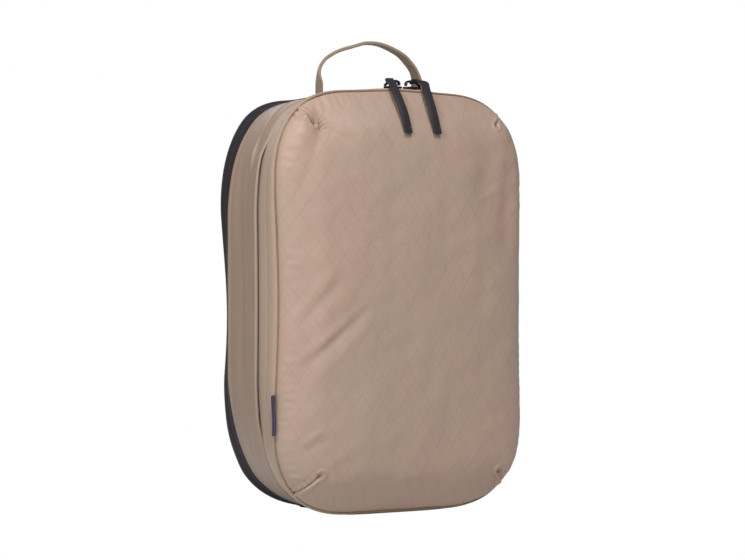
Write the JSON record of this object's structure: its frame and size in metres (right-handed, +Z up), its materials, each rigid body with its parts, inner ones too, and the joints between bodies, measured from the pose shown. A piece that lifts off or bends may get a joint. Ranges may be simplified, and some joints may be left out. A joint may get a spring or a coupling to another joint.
{
  "type": "packing cube",
  "caption": "Soft upright fabric packing case with two zipped pillow-shaped lids, an inner divider, a webbing top handle and strap zip pulls.",
  "frame": {"origin": "middle of the flat bottom of the gusset, on the surface that the cube stands on", "axes": "+X to the right seen from the front, +Y from the front lid to the back lid, +Z up to the handle"},
  "size_m": [0.2729, 0.1292, 0.4],
  "materials": {
    "ripstop_tan": "diamond ripstop nylon, satin",
    "gusset_tan": "smooth nylon, satin",
    "tape_tan": "woven zip tape",
    "coil_tan": "nylon zip coil",
    "ripstop_charcoal": "diamond ripstop nylon, satin",
    "tape_charcoal": "woven zip tape",
    "coil_charcoal": "nylon zip coil",
    "lining_charcoal": "plain woven lining",
    "webbing_olive": "grosgrain webbing",
    "slider_gunmetal": "satin black-coated zinc",
    "pull_grey": "soft moulded strap, fine texture",
    "label_blue": "plain woven label, no lettering"
  },
  "bodies": {
    "cube_body": {"back_gusset_binding": "tape_charcoal", "back_hinge_strip": "tape_charcoal", "back_zip_coil_gusset": "coil_charcoal", "back_zip_end_tab_left": "tape_charcoal", "back_zip_end_tab_right": "tape_charcoal", "back_zip_tape_gusset": "tape_charcoal", "divider": "lining_charcoal", "divider_binding": "tape_tan", "front_gusset_binding": "tape_tan", "front_hinge_strip": "tape_tan", "front_zip_coil_gusset": "coil_tan", "front_zip_end_tab_left": "tape_tan", "front_zip_end_tab_right": "tape_tan", "front_zip_tape_gusset": "tape_tan", "handle_foot_left": "webbing_olive", "handle_foot_right": "webbing_olive", "side_gusset": "gusset_tan"},
    "front_lid": {"front_panel": "ripstop_tan", "front_seam_binding": "tape_tan", "front_zip_tape_lid": "tape_tan", "front_zip_coil_lid": "coil_tan", "side_label": "label_blue"},
    "back_lid": {"back_panel": "ripstop_charcoal", "back_seam_binding": "tape_charcoal", "back_zip_tape_lid": "tape_charcoal", "back_zip_coil_lid": "coil_charcoal"},
    "handle": {"handle_webbing": "webbing_olive"},
    "front_left_slider": {"front_slider_left_body": "slider_gunmetal", "front_slider_left_bridge": "slider_gunmetal"},
    "front_left_pull": {"front_pull_left": "pull_grey"},
    "front_right_slider": {"front_slider_right_body": "slider_gunmetal", "front_slider_right_bridge": "slider_gunmetal"},
    "front_right_pull": {"front_pull_right": "pull_grey"},
    "back_upper_slider": {"back_slider_upper_body": "slider_gunmetal", "back_slider_upper_bridge": "slider_gunmetal"},
    "back_upper_pull": {"back_pull_upper": "pull_grey"},
    "back_lower_slider": {"back_slider_lower_body": "slider_gunmetal", "back_slider_lower_bridge": "slider_gunmetal"},
    "back_lower_pull": {"back_pull_lower": "pull_grey"}
  },
  "joints": [
    {"name": "front_lid_hinge", "type": "hinge", "parent": "cube_body", "child": "front_lid", "pos_m": [0, -0.04285, 0.00285], "axis": [1, 0, 0], "range_deg": [0, 150]},
    {"name": "back_lid_hinge", "type": "hinge", "parent": "cube_body", "child": "back_lid", "pos_m": [0, 0.04285, 0.00285], "axis": [-1, 0, 0], "range_deg": [0, 150]},
    {"name": "front_left_slider_travel", "type": "slide", "parent": "front_lid", "child": "front_left_slider", "axis": [-1, 0, 0], "range_m": [0, 0.0426]},
    {"name": "front_left_pull_hinge", "type": "hinge", "parent": "front_left_slider", "child": "front_left_pull", "pos_m": [0.0016, -0.0325, 0.3656], "axis": [-1, 0, 0], "range_deg": [0, 120]},
    {"name": "front_right_slider_travel", "type": "slide", "parent": "front_lid", "child": "front_right_slider", "axis": [1, 0, 0], "range_m": [0, 0.0191]},
    {"name": "front_right_pull_hinge", "type": "hinge", "parent": "front_right_slider", "child": "front_right_pull", "pos_m": [0.0219, -0.0325, 0.3656], "axis": [-1, 0, 0], "range_deg": [0, 85]},
    {"name": "back_upper_slider_travel", "type": "slide", "parent": "back_lid", "child": "back_upper_slider", "axis": [0, 0, 1], "range_m": [0, 0.0765]},
    {"name": "back_upper_pull_hinge", "type": "hinge", "parent": "back_upper_slider", "child": "back_upper_pull", "pos_m": [0.1356, 0.0325, 0.1905], "axis": [0, 0, -1], "range_deg": [0, 120]},
    {"name": "back_lower_slider_travel", "type": "slide", "parent": "back_lid", "child": "back_lower_slider", "axis": [0, 0, -1], "range_m": [0, 0.0765]},
    {"name": "back_lower_pull_hinge", "type": "hinge", "parent": "back_lower_slider", "child": "back_lower_pull", "pos_m": [0.1356, 0.0325, 0.1695], "axis": [0, 0, -1], "range_deg": [0, 120]},
    {"name": "handle_fold", "type": "hinge", "parent": "cube_body", "child": "handle", "pos_m": [0, 0, 0.367], "axis": [1, 0, 0], "range_deg": [-60, 60]}
  ]
}
